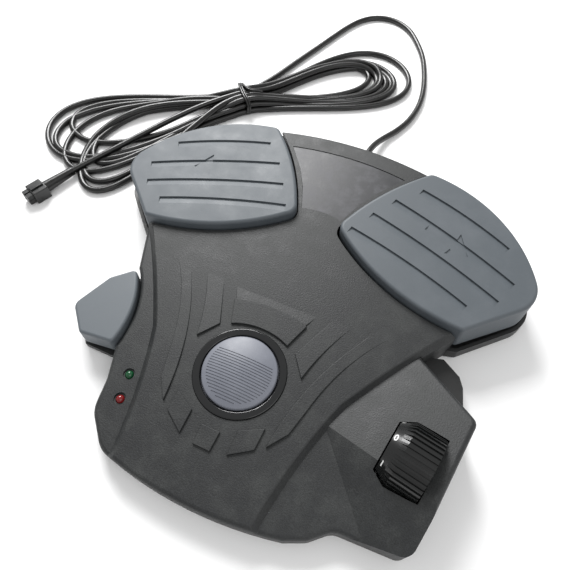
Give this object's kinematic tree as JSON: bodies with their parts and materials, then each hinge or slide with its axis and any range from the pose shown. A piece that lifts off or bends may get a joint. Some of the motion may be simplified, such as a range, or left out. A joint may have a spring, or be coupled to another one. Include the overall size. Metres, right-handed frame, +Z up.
{
  "type": "foot control pedal",
  "caption": "Wired foot control for an electric trolling motor: steering pads, momentary and constant buttons, speed wheel, signal lamps and a tied lead.",
  "frame": {"origin": "middle of the housing's footprint, on the floor under its rubber feet", "axes": "+X to the user's right, +Y towards the toe where the cable leaves, +Z up"},
  "size_m": [0.4045, 0.4827, 0.0402],
  "materials": {
    "cover": "fine textured black moulded plastic",
    "base": "black moulded plastic",
    "inlay": "smoother black plastic",
    "pads": "grey moulded plastic",
    "side_key": "light grey moulded plastic",
    "round_key": "pale grey moulded plastic",
    "ring": "polished black plastic",
    "wheel": "polished black plastic",
    "cable": "satin black cable jacket",
    "feet": "black rubber",
    "steel": "zinc plated steel",
    "spring_steel": "spring wire",
    "board": "green solder mask",
    "switch": "black switch body",
    "green_lens": "tinted epoxy",
    "red_lens": "tinted epoxy",
    "brass": "tinned brass",
    "nylon": "natural nylon",
    "connector": "black nylon",
    "core": "insulated cores"
  },
  "bodies": {
    "housing": {"base_shell": "base", "top_cover": "cover", "toe_inlay": "inlay", "cover_screws": "steel", "rubber_feet": "feet", "circuit_board": "board", "board_screws": "steel", "control_chip": "switch", "terminal_header": "nylon", "momentary_switch": "switch", "constant_switch": "switch", "right_pad_switch": "switch", "left_pad_switch": "switch", "green_led": "green_lens", "red_led": "red_lens", "button_ring": "ring", "inner_cable": "cable", "core_wires": "core", "cable_gland": "cable", "cable_clamp": "nylon", "clamp_screws": "steel", "right_pad_pin": "steel", "left_pad_pin": "steel", "right_pad_spring": "spring_steel", "left_pad_spring": "spring_steel", "centre_button_spring": "spring_steel", "side_button_spring": "spring_steel", "potentiometer": "steel", "wheel_bracket": "steel", "cable_lead": "cable", "cable_hank": "cable", "cable_tie": "cable", "connector_boot": "cable", "connector_housing": "connector", "connector_contacts": "brass"},
    "right_pad": {"right_pad": "pads"},
    "left_pad": {"left_pad": "pads"},
    "centre_button": {"centre_button": "round_key"},
    "side_button": {"side_button": "side_key"},
    "speed_wheel": {"speed_wheel": "wheel", "wheel_shaft": "steel"}
  },
  "joints": [
    {"name": "right_pad_press", "type": "hinge", "parent": "housing", "child": "right_pad", "pos_m": [0.09, 0.0905, 0.025], "axis": [0.9214, -0.3887, 0], "range_deg": [0, 2.5], "stiffness_Nm_per_rad": 5.4, "springref_deg": -3.15, "deforming": ["right_pad_spring"]},
    {"name": "left_pad_press", "type": "hinge", "parent": "housing", "child": "left_pad", "pos_m": [-0.09, 0.0905, 0.025], "axis": [0.9214, 0.3887, 0], "range_deg": [0, 2.5], "stiffness_Nm_per_rad": 5.4, "springref_deg": -3.15, "deforming": ["left_pad_spring"]},
    {"name": "centre_button_press", "type": "slide", "parent": "housing", "child": "centre_button", "axis": [0, 0.0698, -0.9976], "range_m": [0, 0.003], "stiffness_N_per_m": 400, "springref_m": -0.006, "deforming": ["centre_button_spring"]},
    {"name": "side_button_press", "type": "slide", "parent": "housing", "child": "side_button", "axis": [0, 0, -1], "range_m": [0, 0.0026], "stiffness_N_per_m": 400, "springref_m": -0.005, "deforming": ["side_button_spring"]},
    {"name": "speed_wheel_turn", "type": "hinge", "parent": "housing", "child": "speed_wheel", "pos_m": [0.1004, -0.0648, 0.0222], "axis": [-0.9848, 0.1736, 0], "range_deg": [0, 300]}
  ]
}
